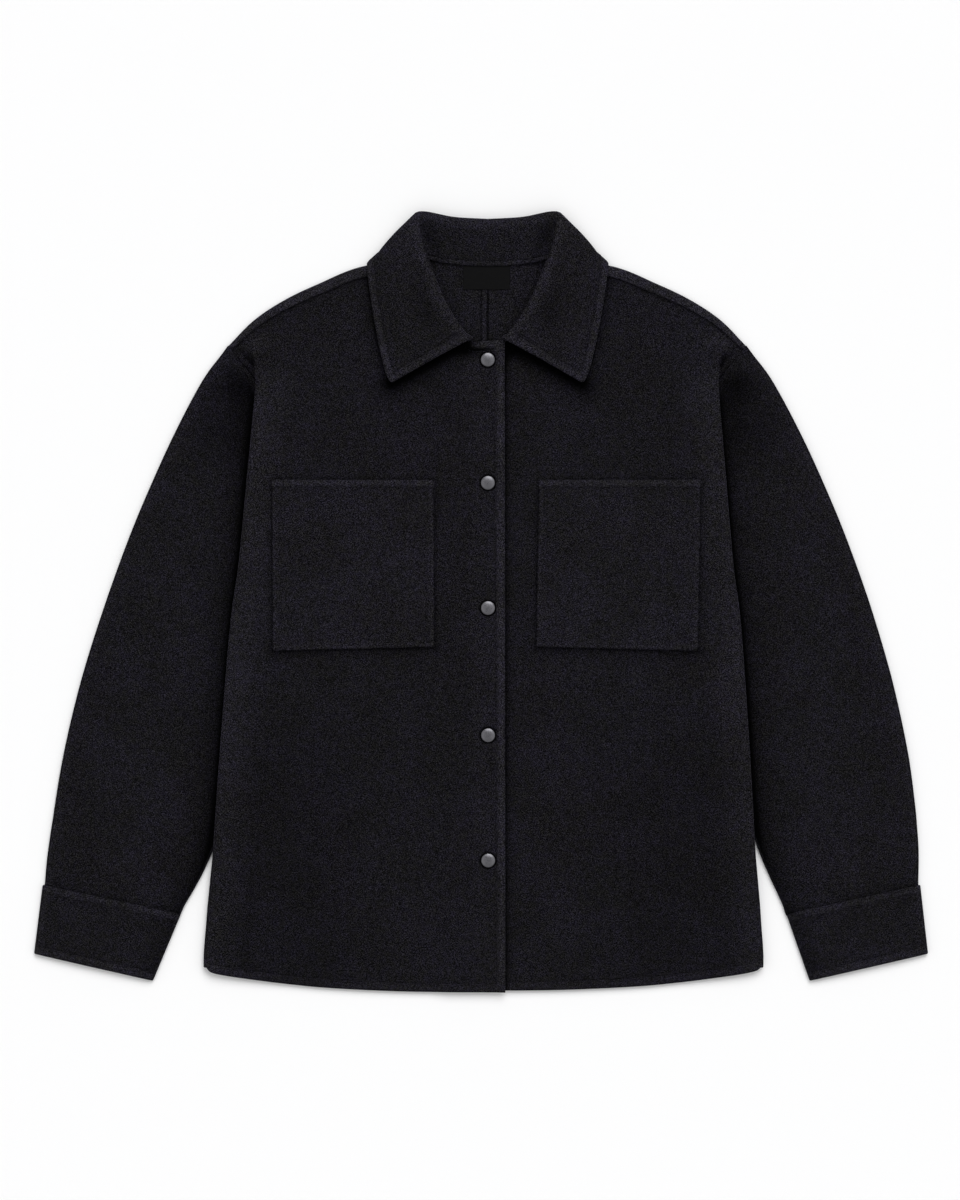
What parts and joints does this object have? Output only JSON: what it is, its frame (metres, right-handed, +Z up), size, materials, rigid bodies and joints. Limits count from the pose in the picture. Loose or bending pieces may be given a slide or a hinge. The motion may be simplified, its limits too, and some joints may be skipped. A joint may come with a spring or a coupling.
{
  "type": "wool jacket",
  "caption": "Near-black wool shirt jacket laid flat on its back, with a turned-down collar, patch chest pockets, banded cuffs and a row of metal snaps.",
  "frame": {"origin": "middle of the jacket's outline, on the surface that it lies on", "axes": "+X to the viewer's right, the wearer's left; +Y from hem to collar; +Z up off the surface, out of the jacket's front"},
  "size_m": [0.86, 0.7508, 0.0186],
  "materials": {
    "wool": "felted nap, matt",
    "snap_metal": "gunmetal, satin",
    "ribbon": "woven satin, bare"
  },
  "bodies": {
    "root": {"back_right": "wool", "back_left": "wool", "front_right": "wool", "front_left": "wool", "sleeve_right": "wool", "sleeve_left": "wool", "cuff_right": "wool", "cuff_left": "wool", "collar": "wool", "pocket_right": "wool", "pocket_left": "wool", "snap_1": "snap_metal", "snap_2": "snap_metal", "snap_3": "snap_metal", "snap_4": "snap_metal", "snap_5": "snap_metal", "neck_label": "ribbon"}
  },
  "joints": []
}
